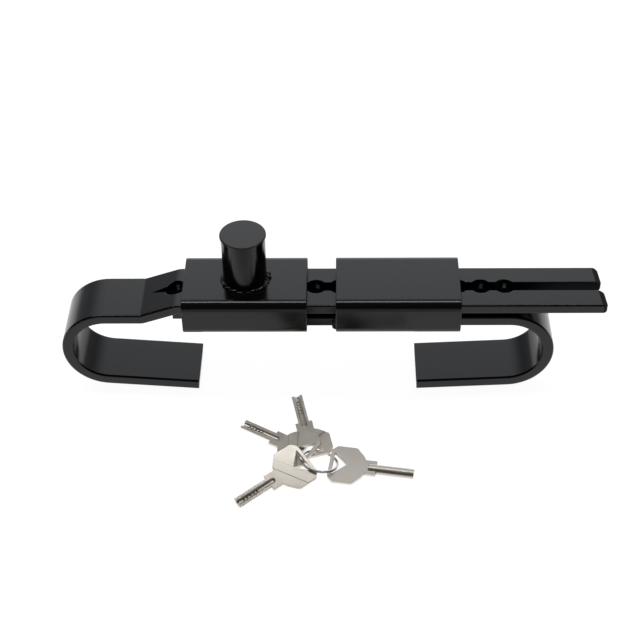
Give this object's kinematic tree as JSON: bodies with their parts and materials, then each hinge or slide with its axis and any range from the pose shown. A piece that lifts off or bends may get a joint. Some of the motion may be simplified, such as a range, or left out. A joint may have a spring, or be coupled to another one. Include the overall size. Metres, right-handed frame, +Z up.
{
  "type": "container lock",
  "caption": "Adjustable lock bar for container doors: two flat hook bars sliding in welded sleeves, held by a push-down keyed bolt in a row of keyholes, with loose keys on a ring.",
  "frame": {"origin": "centre of the right hook's bend, on the bar's middle plane", "axes": "+X along the bars towards the right hook, +Y across the bars away from the keys and along both hooks' bend axes, +Z up"},
  "size_m": [0.3657, 0.1573, 0.1209],
  "materials": {
    "black_powder_coat": "satin black powder coat",
    "painted_weld": "weld bead under black powder coat",
    "turned_steel": "turned steel",
    "hardened_steel": "ground hardened steel",
    "spring_steel": "oiled spring steel",
    "turned_brass": "turned brass",
    "nickel_silver": "tumbled nickel silver",
    "ring_wire": "nickel plated wire"
  },
  "bodies": {
    "main_bar": {"plain_hook_bar": "black_powder_coat", "lock_sleeve": "black_powder_coat", "guide_sleeve": "black_powder_coat", "lock_spacer": "black_powder_coat", "guide_spacer": "black_powder_coat", "guide_sleeve_welds": "painted_weld", "lock_sleeve_weld": "painted_weld", "cylinder_housing": "black_powder_coat", "housing_foot_weld": "painted_weld", "guide_bush": "turned_brass", "barrel_guide_pin": "hardened_steel", "bolt_spring": "spring_steel"},
    "sliding_bar": {"slotted_hook_bar": "black_powder_coat"},
    "barrel": {"lock_barrel": "turned_steel", "lock_bolt": "hardened_steel", "bolt_cross_pin": "hardened_steel", "plug_retaining_ring": "turned_steel", "driver_pins": "turned_steel", "driver_springs": "spring_steel", "pin_cover": "turned_brass"},
    "plug": {"key_plug": "turned_brass", "key_pins": "turned_brass"},
    "tongue": {"locking_tongue": "hardened_steel"},
    "cap": {"dust_cap": "black_powder_coat"},
    "keys": {"key_ring": "ring_wire"},
    "top_key": {"key_1": "nickel_silver"},
    "second_key": {"key_2": "nickel_silver"},
    "bottom_key": {"key_3": "nickel_silver"},
    "right_key": {"key_4": "nickel_silver"}
  },
  "joints": [
    {"name": "bar_slide", "type": "slide", "parent": "main_bar", "child": "sliding_bar", "axis": [-1, 0, 0], "range_m": [-0.0035, 0.17325]},
    {"name": "barrel_push", "type": "slide", "parent": "main_bar", "child": "barrel", "axis": [0, 0, -1], "range_m": [0, 0.009], "stiffness_N_per_m": 800, "springref_m": -0.005, "deforming": ["bolt_spring"]},
    {"name": "plug_turn", "type": "hinge", "parent": "barrel", "child": "plug", "pos_m": [-0.17675, 0, 0.06], "axis": [0, 0, 1], "range_deg": [0, 90]},
    {"name": "tongue_throw", "type": "slide", "parent": "barrel", "child": "tongue", "axis": [0.7071, 0.7071, 0], "range_m": [0, 0.0012]},
    {"name": "cap_lift", "type": "slide", "parent": "main_bar", "child": "cap", "axis": [0, 0, 1], "range_m": [0, 0.02]},
    {"name": "keys_lift", "type": "slide", "parent": "main_bar", "child": "keys", "axis": [0, 0, 1], "range_m": [0, 0.05]},
    {"name": "top_key_swing", "type": "hinge", "parent": "keys", "child": "top_key", "pos_m": [-0.13775, -0.09768, -0.02684], "axis": [-0.4547, 0.8801, -0.1366], "range_deg": [0, 25]},
    {"name": "second_key_swing", "type": "hinge", "parent": "keys", "child": "second_key", "pos_m": [-0.13729, -0.08616, -0.0298], "axis": [-0.0964, -0.0657, 0.9932], "range_deg": [-10, 0]},
    {"name": "bottom_key_swing", "type": "hinge", "parent": "keys", "child": "bottom_key", "pos_m": [-0.13273, -0.0822, -0.03163], "axis": [-0.0975, -0.0641, 0.9932], "range_deg": [0, 18]},
    {"name": "right_key_swing", "type": "hinge", "parent": "keys", "child": "right_key", "pos_m": [-0.1156, -0.09508, -0.03155], "axis": [0, 0, 1], "range_deg": [-6, 0]}
  ],
  "couplings": [
    {"joint": "tongue_throw", "follows": "plug_turn", "m_per_rad": 0.000765}
  ]
}
